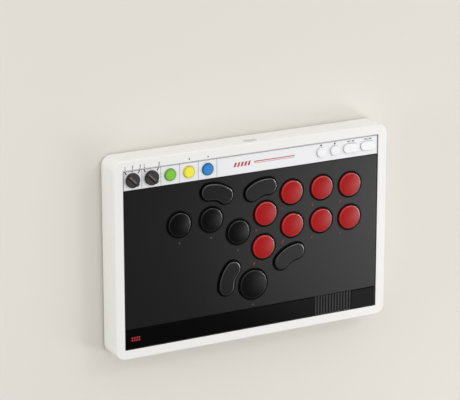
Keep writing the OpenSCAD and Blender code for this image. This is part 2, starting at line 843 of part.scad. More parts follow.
frame();
bottom_cover();
control_panel();
front_band();
grille_insert();
top_strip();
button_rings();
switch_plate();
main_board();
switch_housings();
return_springs();
top_board();
tact_switches();
rotary_switches();
usb_socket();
feet();
screws();
for (i = [0:7]) red_cap(i);
for (i = [0:2]) black_cap(i);
thumb_cap();
for (i = [0:3]) bean_cap(i);
for (i = [0:7]) stem(red_at[i], red);
for (i = [0:2]) stem(black_at[i], white);
stem(thumb_at, white);  // thumb_stem
for (i = [0:3]) stem(bean_at[i], white);
dot_button(cell_x(2), dot_d, "#76BE46");  // green_button
dot_button(cell_x(3), dot_d, "#F0E246");  // yellow_button
dot_button(cell_x(4), dot_d, "#2878C8");  // blue_button
for (i = [0, 1]) dot_button(round_x[i], round_d, white);
for (i = [0, 1]) pill_button(i);
knob(0);  // left_knob
knob(1);  // right_knob
shaft(0);  // left_shaft
shaft(1);  // right_shaft
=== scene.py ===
# %% [markdown]
# # An all-button arcade controller
# This lesson dresses a imported CAD model: a low desktop case with a white rim and a
# charcoal face, sixteen sprung action buttons, and a white strip with two knobs and
# seven small buttons. Every shape that moves or carries load is already in the CAD
# model, and none of it is moved or re-meshed here. Blender adds the finishes, a piece of
# its own for each spring, the thin printed marks, the socket's contacts, the lamps and
# the camera. Lengths are in metres and in the model's own frame: X to the player's
# right, Y to the back edge, Z up.

# %% Load the imported model as a fixed frame
import json
import math

import bmesh
import bpy
from mathutils import Matrix, Vector


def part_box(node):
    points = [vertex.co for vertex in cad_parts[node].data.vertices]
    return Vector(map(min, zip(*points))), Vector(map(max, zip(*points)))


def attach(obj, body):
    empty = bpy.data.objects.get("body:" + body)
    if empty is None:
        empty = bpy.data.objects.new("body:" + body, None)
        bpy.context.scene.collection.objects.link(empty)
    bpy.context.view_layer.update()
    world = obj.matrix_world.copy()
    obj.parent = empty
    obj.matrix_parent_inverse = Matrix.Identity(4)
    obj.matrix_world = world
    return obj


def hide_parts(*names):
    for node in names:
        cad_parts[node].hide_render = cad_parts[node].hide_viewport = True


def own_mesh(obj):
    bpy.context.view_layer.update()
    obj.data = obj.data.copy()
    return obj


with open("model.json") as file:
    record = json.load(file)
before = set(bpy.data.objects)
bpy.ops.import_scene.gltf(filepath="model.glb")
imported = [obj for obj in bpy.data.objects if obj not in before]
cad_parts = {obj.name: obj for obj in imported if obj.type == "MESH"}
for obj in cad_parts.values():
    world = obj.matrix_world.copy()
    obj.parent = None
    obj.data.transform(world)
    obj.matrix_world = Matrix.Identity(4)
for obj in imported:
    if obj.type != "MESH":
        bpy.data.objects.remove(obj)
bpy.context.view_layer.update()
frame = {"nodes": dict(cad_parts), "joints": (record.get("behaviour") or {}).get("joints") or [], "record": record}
nodes = frame["nodes"]
MM = 0.001

# %% [markdown]
# ## Where the camera stands
# The eight corners of the rim and of the face in the picture fix the camera: they
# leave only one place, tilt and lens from which a flat 300 by 200 mm face looks like
# that. The camera is placed first, because every later choice of colour and lamp is
# judged through it. Its turn is built from two directions, the one that it looks
# along and the one that is upwards in the picture, because these are easier to check
# by eye than three angles are.

# %% Build the camera
Z_RIM = 30 * MM
Z_FACE = 29 * MM
CAMERA_FROM_RIM = Vector((-1.0371, 0.7214, 1.9333))
LOOK = Vector((0.44258, -0.29583, -0.84653)).normalized()
PICTURE_UP = Vector((0.13795, 0.95524, -0.26169))
LENS_MM = 184.56
SENSOR_MM = 36

to_right = LOOK.cross(PICTURE_UP).normalized()
to_top = to_right.cross(LOOK)
turn = Matrix((to_right, to_top, -LOOK)).transposed().to_4x4()

camera = bpy.data.objects.new("camera", bpy.data.cameras.new("camera"))
bpy.context.scene.collection.objects.link(camera)
camera.matrix_world = Matrix.Translation(CAMERA_FROM_RIM + Vector((0, 0, Z_RIM))) @ turn
camera.data.lens = LENS_MM
camera.data.sensor_width = SENSOR_MM
bpy.context.scene.camera = camera
bpy.context.scene.view_settings.view_transform = "Standard"
print("camera at", tuple(round(c, 3) for c in camera.location))

# %% [markdown]
# ## Shader maths as plain expressions
# A finish is a small sum: a base colour, plus a little noise, times a mask. Written
# out as nodes and links it is hard to read, so two helpers are made first. `Wire`
# stands for the output of a node, and adding or multiplying wires adds Math nodes.
# `Finish` holds one material, and its method `node` adds every other kind of node.


# %% Wire: an output that can be added, multiplied and compared
class Wire:
    """An output of a node in a finish. Arithmetic on it adds Math nodes."""

    def __init__(self, finish, socket):
        self.finish = finish
        self.socket = socket

    def math(self, operation, *terms):
        sockets = dict(enumerate(terms))
        return self.finish.node("Math", {"operation": operation}, sockets)

    def __add__(self, other):
        return self.math("ADD", self, other)

    def __radd__(self, other):
        return self.math("ADD", other, self)

    def __sub__(self, other):
        return self.math("SUBTRACT", self, other)

    def __rsub__(self, other):
        return self.math("SUBTRACT", other, self)

    def __mul__(self, other):
        return self.math("MULTIPLY", self, other)

    def __rmul__(self, other):
        return self.math("MULTIPLY", other, self)

    def __truediv__(self, other):
        return self.math("DIVIDE", self, other)

    def __gt__(self, other):
        return self.math("GREATER_THAN", self, other)

    def __lt__(self, other):
        return self.math("LESS_THAN", self, other)

    def fraction(self):
        return self.math("FRACT", self)

    def whole(self):
        return self.math("FLOOR", self)


# %% Finish: one material and the method that adds its nodes
class Finish:
    """One material. Plain sockets of its shader are given by name when it is made."""

    def __init__(self, name, **plain):
        self.material = bpy.data.materials.new(name)
        self.material.use_nodes = True
        self.tree = self.material.node_tree
        self.shader = self.tree.nodes["Principled BSDF"]
        for socket_name, value in plain.items():
            self.feed(socket_name.replace("_", " "), value)
        self.place = self.node("TexCoord", output="Object")

    def link(self, socket, value):
        if isinstance(value, Wire):
            self.tree.links.new(value.socket, socket)
        else:
            socket.default_value = value

    def feed(self, socket_name, value):
        """Gives one of the shader's own sockets a value or a wire."""
        self.link(self.shader.inputs[socket_name], value)

    def node(self, kind, settings=None, sockets=None, output=0):
        """Adds a node: its settings are set first, then its sockets are fed."""
        made = self.tree.nodes.new("ShaderNode" + kind)
        for name, value in (settings or {}).items():
            setattr(made, name, value)
        for name, value in (sockets or {}).items():
            self.link(made.inputs[name], value)
        return Wire(self, made.outputs[output])

    def noise(self, size, detail=2, place=None):
        """Soft noise whose blots are about `size` metres across, from 0 to 1."""
        sockets = {"Vector": place or self.place, "Scale": 1 / size, "Detail": detail}
        return self.node("TexNoise", None, sockets)

    def mix(self, mask, colour, other):
        """The first colour where the mask is 0, the other where it is 1."""
        sockets = {0: mask, 6: colour, 7: other}
        return self.node("Mix", {"data_type": "RGBA"}, sockets, output=2)

    def axis(self, name):
        """One coordinate of the place on the surface, in metres."""
        return self.node("SeparateXYZ", None, {"Vector": self.place}, output=name)

    def bump(self, height, depth):
        """Sets the surface's normal from a height map that is `depth` metres deep."""
        sockets = {"Distance": depth, "Height": height}
        self.feed("Normal", self.node("Bump", None, sockets))


# %% Colours, and the call that puts a finish on CAD nodes
def screen(red, green, blue):
    """A colour as it looks on a screen, 0 to 255, in the linear units of a shader."""
    shares = (red / 255, green / 255, blue / 255)
    linear = [c / 12.92 if c < 0.04045 else ((c + 0.055) / 1.055) ** 2.4 for c in shares]
    return (*linear, 1.0)


def shade(colour, factor):
    """The same colour, darker or lighter."""
    return (*(c * factor for c in colour[:3]), 1.0)


def dress(finish, *names):
    """Puts a finish on CAD nodes, by whole name or by the name before its number."""
    dressed = [n for n in sorted(nodes) if n in names or n.rstrip("12345678") in names]
    for name in dressed:
        for holder in nodes[name].material_slots:
            holder.material = finish.material
        if not nodes[name].material_slots:
            nodes[name].data.materials.append(finish.material)
    print(finish.material.name, "on", len(dressed), "nodes")


# %% [markdown]
# ## Moulded plastic
# Most of the controller is injection moulded. A mould leaves a fine, even grain that
# breaks up the gloss, and the colour varies by a hair's breadth over the part where
# the melt flowed. The grain is far too fine for geometry, so it is a bump of a few
# hundredths of a millimetre at most, and the slow tone noise goes into colour and
# roughness. One function makes them all, from a colour, a roughness, and the width and
# depth of the grain in millimetres.

# %% A finish for each moulded plastic
FLOW_SIZE = 45 * MM


def moulded(name, colour, roughness, grain_mm, depth_mm, tone=0.04, **plain):
    finish = Finish(name, **plain)
    flow = finish.noise(FLOW_SIZE, detail=3)
    grain = finish.noise(grain_mm * MM, detail=2)
    melt = finish.mix(flow, shade(colour, 1 - tone), shade(colour, 1 + tone))
    finish.feed("Base Color", melt)
    finish.feed("Roughness", roughness - 0.04 + 0.05 * flow + 0.03 * grain)
    finish.bump(grain, depth_mm * MM)
    return finish


WHITE_PLASTIC = {"tone": 0.01, "Specular_IOR_Level": 0.25}
white_strip = moulded("white_strip", screen(238, 238, 240), 0.38, 0.4, 0.008, **WHITE_PLASTIC)
black_cover = moulded("black_cover", screen(38, 38, 40), 0.6, 0.7, 0.05)
ring_black = moulded("ring_black", screen(2, 2, 2), 0.4, 0.3, 0.002, Specular_IOR_Level=0.03)
switch_nylon = moulded("switch_nylon", screen(44, 44, 46), 0.5, 0.3, 0.01)
stem_acetal = moulded("stem_acetal", screen(226, 222, 210), 0.32, 0.5, 0.004)
knob_black = moulded("knob_black", screen(38, 34, 33), 0.4, 0.3, 0.012, Specular_IOR_Level=0.28)
small_white = moulded("small_white", screen(232, 232, 232), 0.25, 0.3, 0.003, tone=0.01)
foot_rubber = moulded("foot_rubber", screen(40, 40, 41), 0.75, 0.6, 0.03, tone=0.08)

dress(white_strip, "top_strip")
dress(black_cover, "bottom_cover")
dress(ring_black, "button_rings")
dress(switch_nylon, "switch_housings", "tact_switches")
dress(stem_acetal, "red_stem_", "black_stem_", "thumb_stem", "bean_stem_")
dress(knob_black, "left_knob", "right_knob")
dress(small_white, "round_button_", "pill_button_")
dress(foot_rubber, "feet")

# %% [markdown]
# The white shell has a painted shadow on the low inner wall of its rim: a dark line that
# stands in for the shadow of the face's gap. The painted shadow is paler beside the white
# strip. The wall is a single face of the shell, so the painted shadow can't be a material
# of its own: it is a mask made from the place on the surface, which is inside the rim's
# opening and between the face and the rim's top.

# %% The white shell, with a painted shadow line round the face
SHELL = screen(240, 239, 236)
# Colours of the painted shadow on the rim's inner wall: dark by the face, pale by the strip.
GAP_SHADOW_DARK = screen(52, 50, 50)
GAP_SHADOW_PALE = screen(150, 146, 148)
OPENING_HALF = (140.3 * MM, 90.3 * MM)
GAP_SHADOW_LOW = Z_FACE - 0.5 * MM
GAP_SHADOW_HIGH = Z_RIM - 0.15 * MM
STRIP_FRONT = 70 * MM


def inner_edge(finish):
    """1 on the low inner wall of the rim, where the painted shadow goes, from below the face to just under the
    top.
    """
    x, y, z = (finish.axis(a) for a in "XYZ")
    inside = (x < OPENING_HALF[0]) * (x > -OPENING_HALF[0])
    inside = inside * (y < OPENING_HALF[1]) * (y > -OPENING_HALF[1])
    return inside * (z > GAP_SHADOW_LOW) * (z < GAP_SHADOW_HIGH)


white_shell = moulded("white_shell", SHELL, 0.42, 0.5, 0.006, **WHITE_PLASTIC)
beside_strip = white_shell.axis("Y") > STRIP_FRONT
gap_shadow_colour = white_shell.mix(beside_strip, GAP_SHADOW_DARK, GAP_SHADOW_PALE)
# Painted shadow: a dark line on the rim's low inner wall, paler beside the strip.
white_shell.feed("Base Color", white_shell.mix(inner_edge(white_shell), SHELL, gap_shadow_colour))
dress(white_shell, "frame")

# %% [markdown]
# The three coloured buttons have a painted shade in a ring along the edge: the colour is
# darker there, standing in for the shade on a rounded edge that leans away and meets the
# gap round it. The ring is found by the distance from the button's own axis, which its box gives.

# %% Coloured buttons with a painted shade along the rim
SHADE_RING_START = 0.78
BUTTON_FLOW_SIZE = 3 * MM


def tinted_button(node, colour, shaded_rim_colour):
    finish = moulded(node + "_shaded_rim", colour, 0.3, 0.3, 0.004, Specular_IOR_Level=0.27)
    low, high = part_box(node)
    centre, radius = (low + high) / 2, (high.y - low.y) / 2
    across, along = finish.axis("X") - centre.x, finish.axis("Y") - centre.y
    # The ring along the edge is a painted shade: darker where the edge leans away and meets the gap.
    rim = across * across + along * along > (SHADE_RING_START * radius) ** 2
    flow = finish.noise(BUTTON_FLOW_SIZE, detail=2)
    finish.feed("Base Color", finish.mix(0.9 * rim + 0.1 * flow, colour, shaded_rim_colour))
    dress(finish, node)


tinted_button("green_button", screen(124, 202, 40), screen(104, 162, 62))
tinted_button("yellow_button", screen(250, 238, 58), screen(214, 200, 70))
tinted_button("blue_button", screen(2, 130, 214), screen(20, 98, 150))

# %% [markdown]
# ## The charcoal face and the dark band
# The face has a matt film with a very fine speckle: it scatters the light of the
# softbox into a wide glow that brightens towards the right. The band at the front is
# the same film in near-black. Both have a low specular level, because a film's clear
# layer is thin and a full 4 % mirror would lift the black to grey.

# %% Matt film for the face, the band and its ribs
SPECKLE_SIZE = 0.22 * MM
SPECKLE_DEPTH = 0.006 * MM
DRIFT_SIZE = 60 * MM


def matt_film(name, colour, roughness, specular):
    finish = Finish(name, Specular_IOR_Level=specular)
    speckle = finish.noise(SPECKLE_SIZE, detail=4)
    drift = finish.noise(DRIFT_SIZE, detail=2)
    finish.feed("Base Color", finish.mix(speckle, shade(colour, 0.82), shade(colour, 1.2)))
    finish.feed("Roughness", roughness + 0.05 * drift)
    finish.bump(speckle, SPECKLE_DEPTH)
    return finish


face_film = matt_film("face_film", screen(16, 16, 16), 0.19, 0.13)
band_film = matt_film("band_film", screen(1, 1, 1), 0.13, 0.046)
rib_film = matt_film("rib_film", screen(44, 44, 45), 0.3, 0.1)
dress(face_film, "control_panel")
dress(band_film, "front_band")
dress(rib_film, "grille_insert")

# %% [markdown]
# ## Caps
# The action caps are satin, and their rounded edges are polished by the fingers that
# slide over them, so a thin light line runs round each cap. The edge is found by how
# far the surface leans: a top leans by less than 13 degrees and an edge by more, so
# the upward part of the normal tells them apart. A clear coat on that band alone
# gives it the gloss.

# %% Satin caps
EDGE_LEAN = (0.45, 0.975)
CAP_WEAR_SIZE = 9 * MM
CAP_GRAIN_SIZE = 0.35 * MM
CAP_GRAIN_DEPTH = 0.006 * MM


def satin_cap(name, colour, roughness, specular, edge_gloss):
    finish = Finish(name, Specular_IOR_Level=specular, Coat_Roughness=0.25, Coat_IOR=1.8)
    normal = finish.node("TexCoord", output="Normal")
    upward = finish.node("SeparateXYZ", None, {"Vector": normal}, output="Z")
    edge = (upward > EDGE_LEAN[0]) * (upward < EDGE_LEAN[1])
    finish.feed("Coat Weight", edge_gloss * edge)
    wear = finish.noise(CAP_WEAR_SIZE, detail=2)
    grain = finish.noise(CAP_GRAIN_SIZE, detail=2)
    finish.feed("Base Color", finish.mix(wear, shade(colour, 0.95), shade(colour, 1.06)))
    finish.feed("Roughness", roughness - 0.05 + 0.08 * wear + 0.04 * grain)
    finish.bump(grain, CAP_GRAIN_DEPTH)
    return finish


red_satin = satin_cap("red_satin", screen(167, 19, 20), 0.26, 0.08, 0.8)
black_satin = satin_cap("black_satin", screen(2, 2, 2), 0.26, 0.075, 0.4)
bean_satin = satin_cap("bean_satin", screen(8, 8, 9), 0.2, 0.122, 0.9)
dress(red_satin, "red_cap_")
dress(black_satin, "black_cap_", "thumb_cap")
dress(bean_satin, "bean_cap_")

# %% [markdown]
# ## Metals
# Inside the case are a zinc-plated switch plate, bright springs and the rotary
# switches. Rolled sheet has fine lines along the way it was rolled, and a turned shaft
# has them round it. A noise stretched along X gives both well enough, so one function
# makes every metal, from its colour, its roughness, how far the lines stretch and how
# wide they are in millimetres.

# %% Rolled, turned and plated metal
METAL_CLOUD_SIZE = 12 * MM
METAL_LINE_DEPTH = 0.004 * MM
GOLD = screen(222, 178, 92)


def metal(name, colour, roughness, stretch, line_mm):
    finish = Finish(name, Metallic=1.0)
    squeeze = {"Vector": finish.place, "Scale": (1 / stretch, 1, 1)}
    lines = finish.noise(line_mm * MM, detail=3, place=finish.node("Mapping", None, squeeze))
    cloud = finish.noise(METAL_CLOUD_SIZE, detail=2)
    finish.feed("Base Color", finish.mix(cloud, shade(colour, 0.9), shade(colour, 1.08)))
    finish.feed("Roughness", roughness - 0.06 + 0.14 * lines)
    finish.bump(lines, METAL_LINE_DEPTH)
    return finish


plated_sheet = metal("plated_sheet", screen(196, 198, 202), 0.38, 12, 0.3)
bright_wire = metal("bright_wire", screen(205, 205, 205), 0.25, 1, 0.2)
cast_body = metal("cast_body", screen(178, 178, 180), 0.45, 1, 0.5)
turned_shaft = metal("turned_shaft", screen(190, 190, 192), 0.3, 6, 0.15)
plated_shell = metal("plated_shell", screen(200, 200, 202), 0.22, 4, 0.2)
zinc_screw = metal("zinc_screw", screen(150, 152, 156), 0.36, 1, 0.2)
contact_gold = metal("contact_gold", GOLD, 0.2, 1, 0.2)
dress(plated_sheet, "switch_plate")
dress(bright_wire, "return_springs")
dress(cast_body, "rotary_switches")
dress(turned_shaft, "left_shaft", "right_shaft")
dress(plated_shell, "usb_socket")
dress(zinc_screw, "screws")

# %% [markdown]
# ## Circuit boards
# A board is green where the solder mask is, with paler copper lines under it, and its
# cut edges and chips have their own colours. Drawing every line would be endless, so
# the board is split into lanes by its own grid of 1.27 mm. Along each lane a white
# noise decides for every 16 mm whether a copper line runs there.

# %% Boards with copper lines under the mask
MASK_GREEN, COPPER_GREEN = screen(20, 78, 44), screen(46, 118, 66)
CUT_EDGE, CHIP_BLACK = screen(176, 160, 104), screen(24, 24, 25)
LANE_PITCH = 1.27 * MM
LINE_RUN = 16 * MM
LINE_SHARE = 0.32
SKIN = 0.05 * MM


def circuit_board(name, low_z, top_z):
    """A board between two heights. What stands above it is a chip or a plug row."""
    finish = Finish(name)
    x, y, z = (finish.axis(a) for a in "XYZ")
    lane = y / LANE_PITCH
    stretch = finish.node("CombineXYZ", None, {0: (x / LINE_RUN).whole(), 1: lane.whole()})
    chance = finish.node("TexWhiteNoise", {"noise_dimensions": "2D"}, {"Vector": stretch})
    line = (lane.fraction() < LINE_SHARE) * (chance > 0.5)
    is_edge = (z < top_z - SKIN) * (z > low_z + SKIN)
    is_chip = z > top_z + SKIN
    board = finish.mix(line, MASK_GREEN, COPPER_GREEN)
    board = finish.mix(is_edge, board, CUT_EDGE)
    finish.feed("Base Color", finish.mix(is_chip, board, CHIP_BLACK))
    finish.feed("Roughness", 0.35 + 0.2 * is_chip)
    finish.bump(line, 0.03 * MM)
    return finish


dress(circuit_board("main_board_mask", 8.8 * MM, 10.4 * MM), "main_board")
dress(circuit_board("top_board_mask", 17.4 * MM, 19.0 * MM), "top_board")

# %% [markdown]
# ## A piece for each spring
# In the imported model all sixteen springs are one rigid node of the case, so a stem that
# is pressed down would cut into its spring. Each spring is copied out of that node as a
# piece of its own, fixed to the case.

# %% One piece for each spring, fixed to the case
SPRING_REACH = 3 * MM


def spring_under(stem):
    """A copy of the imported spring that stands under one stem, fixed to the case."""
    low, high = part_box(stem)
    axis = ((low + high) / 2).xy
    shape = bmesh.new()
    shape.from_mesh(nodes["return_springs"].data)
    others = [v for v in shape.verts if (v.co.xy - axis).length > SPRING_REACH]
    bmesh.ops.delete(shape, geom=others, context="VERTS")
    mesh = bpy.data.meshes.new(stem.replace("stem", "spring"))
    shape.to_mesh(mesh)
    shape.free()
    mesh.materials.append(bright_wire.material)
    spring = bpy.data.objects.new(mesh.name, mesh)
    bpy.context.scene.collection.objects.link(spring)
    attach(spring, "case")
    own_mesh(spring)
    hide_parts("return_springs")
    return len(mesh.polygons)


members = frame["record"]["behaviour"]["bodies"]
spring_faces = [
    spring_under(node)
    for joint in frame["joints"]
    for node in members[joint["child"]]
    if "stem" in node
]
print("springs:", len(spring_faces), "with faces", sorted(set(spring_faces)))

# %% [markdown]
# ## Printed marks
# Pad printing lays an ink film a few hundredths of a millimetre thick. A mark drawn
# only in a shader would have no edge in a close view, so each mark is a thin raised
# shape, and all marks of one ink on one body are one mesh. Outlines are typed in
# millimetres; numbers come from Blender's own font, turned into mesh and scaled to
# the height that is wanted.

# %% Ink: collects flat marks and raises them into one thin piece
INK_THICKNESS = 0.03 * MM
WELD = 0.001 * MM
BOLD = 0.03


def ink_finish(name, colour):
    """Slightly uneven ink, as a printing pad leaves it."""
    finish = Finish(name, Specular_IOR_Level=0.3)
    cover = finish.noise(0.3 * MM, detail=3)
    finish.feed("Base Color", finish.mix(cover, shade(colour, 0.9), shade(colour, 1.1)))
    finish.feed("Roughness", 0.45 + 0.1 * cover)
    finish.bump(cover, 0.003 * MM)
    return finish


class Ink:
    """Flat marks of one finish at one height, made into one thin raised mesh."""

    def __init__(self, name, finish, z):
        self.name = name
        self.finish = finish
        self.z = z
        self.shape = bmesh.new()

    def outline(self, points, at=(0, 0), angle=0):
        """A closed outline in millimetres, turned by angle about its origin and moved."""
        spin = Matrix.Rotation(math.radians(angle), 4, "Z")
        corners = [spin @ Vector((x, y, 0)) + Vector((*at, 0)) for x, y in points]
        self.shape.faces.new([self.shape.verts.new(c * MM) for c in corners])

    def bar(self, width, height, at, slant=0):
        """A bar centred on a point. Slant moves its top edge to the right."""
        w, h, s = width / 2, height / 2, slant / 2
        self.outline([(-w - s, -h), (w - s, -h), (w + s, h), (-w + s, h)], at)

    def disc(self, diameter, at, corners=24):
        r, turns = diameter / 2, [2 * math.pi * i / corners for i in range(corners)]
        self.outline([(math.cos(t) * r, math.sin(t) * r) for t in turns], at)

    def stroke(self, points, width):
        """A line of even width through points, with square ends."""
        path = [Vector(p) for p in points]
        left, right = [], []
        for i, p in enumerate(path):
            before, after = path[max(i - 1, 0)], path[min(i + 1, len(path) - 1)]
            across = (after - before).normalized().orthogonal() * width / 2
            left.append(p + across)
            right.append(p - across)
        for i in range(len(path) - 1):
            self.outline([left[i], left[i + 1], right[i + 1], right[i]])

    def number(self, text, height, at):
        """A plain number, centred on a point and `height` millimetres tall."""
        words = bpy.data.curves.new("number", "FONT")
        words.body = text
        words.resolution_u = 3
        words.offset = BOLD
        holder = bpy.data.objects.new("number", words)
        flat = bpy.data.meshes.new_from_object(holder)
        corners = [v.co for v in flat.vertices]
        low = Vector(min(c[i] for c in corners) for i in range(3))
        high = Vector(max(c[i] for c in corners) for i in range(3))
        scale = height * MM / (high.y - low.y)
        place = Vector((*at, 0)) * MM - (low + high) / 2 * scale
        flat.transform(Matrix.Translation(place) @ Matrix.Diagonal((scale, scale, scale, 1)))
        self.shape.from_mesh(flat)
        bpy.data.meshes.remove(flat)
        bpy.data.objects.remove(holder)
        bpy.data.curves.remove(words)

    def print_on(self, body, slot):
        """Raises the marks by the ink's thickness and fixes the piece to its body."""
        shape = self.shape
        bmesh.ops.remove_doubles(shape, verts=shape.verts, dist=WELD)
        base = shape.faces[:]
        raised = bmesh.ops.extrude_face_region(shape, geom=base, use_keep_orig=True)
        tops = [v for v in raised["geom"] if isinstance(v, bmesh.types.BMVert)]
        bmesh.ops.translate(shape, verts=tops, vec=(0, 0, INK_THICKNESS))
        bmesh.ops.translate(shape, verts=shape.verts, vec=(0, 0, self.z))
        bmesh.ops.recalc_face_normals(shape, faces=shape.faces)
        mesh = bpy.data.meshes.new(self.name)
        shape.to_mesh(mesh)
        shape.free()
        piece = bpy.data.objects.new(self.name, mesh)
        bpy.context.scene.collection.objects.link(piece)
        mesh.materials.append(self.finish.material)
        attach(piece, body)
        print(self.name, len(mesh.polygons), "faces")


def marks(name, colour, z):
    """Marks of one ink colour, in a finish that has the name of their piece."""
    return Ink(name, ink_finish(name, colour), z)


def middle(name):
    """The middle of a node, seen from above, in millimetres."""
    low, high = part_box(name)
    return ((low.x + high.x) / 2 / MM, (low.y + high.y) / 2 / MM)


# %% [markdown]
# ### Marks round the knobs
# Each knob has ticks that curve in towards it and go on over the rim, with plain
# numbers at their ends. They are read before the knob is turned, so they are dark on
# white. Their places are offsets from the knob's own middle, so that both knobs share
# them: the left one has three positions and the right one two.

# %% Ticks and numbers of the knobs
KNOB_SIDES = {"left_knob": (-1, 0, 1), "right_knob": (-1, 1)}
TICK_WIDTH = 1.1
TICK_SIDE = [(7.5, 9.1), (7.4, 8.2), (6.9, 7.2), (6.1, 6.2)]
TICK_TOP_HEIGHT, TICK_TOP_UP = 1.0, 8.6
RIM_TICK_HEIGHT, RIM_TICK_ACROSS, RIM_TICK_UP, RIM_TICK_SLANT = 0.9, 7.7, 11.1, 0.2
RIM_NUMBER_HEIGHT, RIM_NUMBER_ACROSS = 2.5, 7.9
RIM_LABEL_Y = 93.4

tick_ink = marks("knob_ticks", screen(70, 30, 34), Z_FACE)
rim_ink = marks("rim_numbers", screen(84, 44, 48), Z_RIM)
for knob, sides in KNOB_SIDES.items():
    x, y = middle(knob)
    for count, side in enumerate(sides, start=1):
        if side:
            tick_ink.stroke([(x + side * dx, y + dy) for dx, dy in TICK_SIDE], TICK_WIDTH)
        else:
            tick_ink.bar(TICK_WIDTH, TICK_TOP_HEIGHT, (x, y + TICK_TOP_UP))
        on_rim = (x + side * RIM_TICK_ACROSS, y + RIM_TICK_UP)
        rim_ink.bar(TICK_WIDTH, RIM_TICK_HEIGHT, on_rim, slant=side * RIM_TICK_SLANT)
        number_at = (x + side * RIM_NUMBER_ACROSS, RIM_LABEL_Y)
        rim_ink.number(str(count), RIM_NUMBER_HEIGHT, number_at)
tick_ink.print_on("case", "ring")

# %% A disc over the yellow button and a triangle over the blue one
BUTTON_LABEL_Y = RIM_LABEL_Y - 0.4
BUTTON_DISC = 1.5
BUTTON_TRIANGLE = [(-0.9, -0.8), (0.9, -0.8), (0, 0.9)]

rim_ink.disc(BUTTON_DISC, (middle("yellow_button")[0], BUTTON_LABEL_Y))
rim_ink.outline(BUTTON_TRIANGLE, (middle("blue_button")[0], BUTTON_LABEL_Y))
rim_ink.print_on("case", "ring")

# %% [markdown]
# ### Marks on the strip
# Pale lines between the strip's cells are printed in the grooves of the CAD model, so
# their base is a little lower than the face. Small shapes and numbers label the white
# buttons, and two thin dark lines along the strip's back and left edges are a painted
# shadow of the seam between the strip and the rim. The wide field in the middle has only
# a generic accent of slanted bars and two rules.

# %% Lines between the cells
CELL_LINE_X = (-120, -100, -80, -60, -40)
CELL_LINE_SIZE = (0.48, 18.4)
STRIP_MIDDLE_Y = 80
GROOVE_DEPTH = 0.4 * MM

cell_ink = marks("cell_lines", screen(150, 138, 150), Z_FACE - GROOVE_DEPTH)
for x in CELL_LINE_X:
    cell_ink.bar(*CELL_LINE_SIZE, (x, STRIP_MIDDLE_Y))
cell_ink.print_on("case", "grille")

# %% Labels over the white buttons, and the painted seam shadow along the strip's edges
LABEL_Y = 86.9
SQUARE_LABEL = (2.2, 1.7)
DISC_LABEL = 2.1
PILL_NUMBER_HEIGHT = 1.8
PILL_BAR, PILL_BAR_ACROSS = (2.8, 1.1), 2.7
BACK_SEAM_SHADOW, BACK_SEAM_SHADOW_AT = (278.6, 0.36), (0, 89.0)
LEFT_SEAM_SHADOW, LEFT_SEAM_SHADOW_AT = (0.36, 18.2), (-139.1, 79.8)

labels_and_seam_shadow_ink = marks("strip_labels_and_seam_shadow", screen(74, 72, 76), Z_FACE)
labels_and_seam_shadow_ink.bar(*SQUARE_LABEL, (middle("round_button_1")[0], LABEL_Y))
labels_and_seam_shadow_ink.disc(DISC_LABEL, (middle("round_button_2")[0], LABEL_Y))
for count in (1, 2):
    x = middle(f"pill_button_{count}")[0]
    labels_and_seam_shadow_ink.number(str(count), PILL_NUMBER_HEIGHT, (x, LABEL_Y))
    for side in (-1, 1):
        labels_and_seam_shadow_ink.bar(*PILL_BAR, (x + side * PILL_BAR_ACROSS, LABEL_Y))
# The two dark lines are a painted shadow of the seam between the strip and the rim.
labels_and_seam_shadow_ink.bar(*BACK_SEAM_SHADOW, BACK_SEAM_SHADOW_AT)
labels_and_seam_shadow_ink.bar(*LEFT_SEAM_SHADOW, LEFT_SEAM_SHADOW_AT)
labels_and_seam_shadow_ink.print_on("case", "panel")

# %% The accent in the strip's wide field
ACCENT_BAR, ACCENT_SLANT = (2.2, 4.4), 1.6
ACCENT_BARS, ACCENT_START, ACCENT_PITCH = 5, -20, 3.8
ACCENT_RULES = {80.8: (45, 0.9), 79.2: (45, 0.4)}
ACCENT_RULE_X = 23

accent_ink = marks("strip_accent", screen(186, 40, 44), Z_FACE)
for count in range(ACCENT_BARS):
    at = (ACCENT_START + ACCENT_PITCH * count, STRIP_MIDDLE_Y)
    accent_ink.bar(*ACCENT_BAR, at, slant=ACCENT_SLANT)
for y, size in ACCENT_RULES.items():
    accent_ink.bar(*size, (ACCENT_RULE_X, y))
accent_ink.print_on("case", "red_cap")

# %% [markdown]
# ### Marks on the face
# Red numbers stand to the lower left of the red caps, in the order of the fingers.
# Dim arrows under the black caps say which way each one steers, and the bean caps
# have dark numbers that only show when the light catches them. All of them are placed
# from the middle of their own cap, except the bean caps' numbers: a bent cap has no
# middle to go by, so each number has its own place.


# %% Numbers and arrows on the face
def beside(button, offset):
    """A place at an offset from the middle of a button, in millimetres."""
    x, y = middle(button)
    return (x + offset[0], y + offset[1])


RED_NUMBER_HEIGHT, RED_NUMBER_OFFSET = 3.2, (-10.4, -16.2)
red_ink = marks("red_numbers", screen(140, 26, 34), Z_FACE)
for count in range(1, 9):
    red_ink.number(str(count), RED_NUMBER_HEIGHT, beside(f"red_cap_{count}", RED_NUMBER_OFFSET))
red_ink.print_on("case", "red_cap")

ARROW = [(-1.3, -0.9), (1.3, -0.9), (0, 1.1)]
ARROW_TURN_AND_DROP = {
    "black_cap_1": (90, 19),
    "black_cap_2": (180, 19),
    "black_cap_3": (-90, 18.8),
    "thumb_cap": (0, 21.2),
}
arrow_ink = marks("arrows", screen(64, 64, 66), Z_FACE)
for button, (angle, drop) in ARROW_TURN_AND_DROP.items():
    arrow_ink.outline(ARROW, beside(button, (0, -drop)), angle)
arrow_ink.print_on("case", "grille")

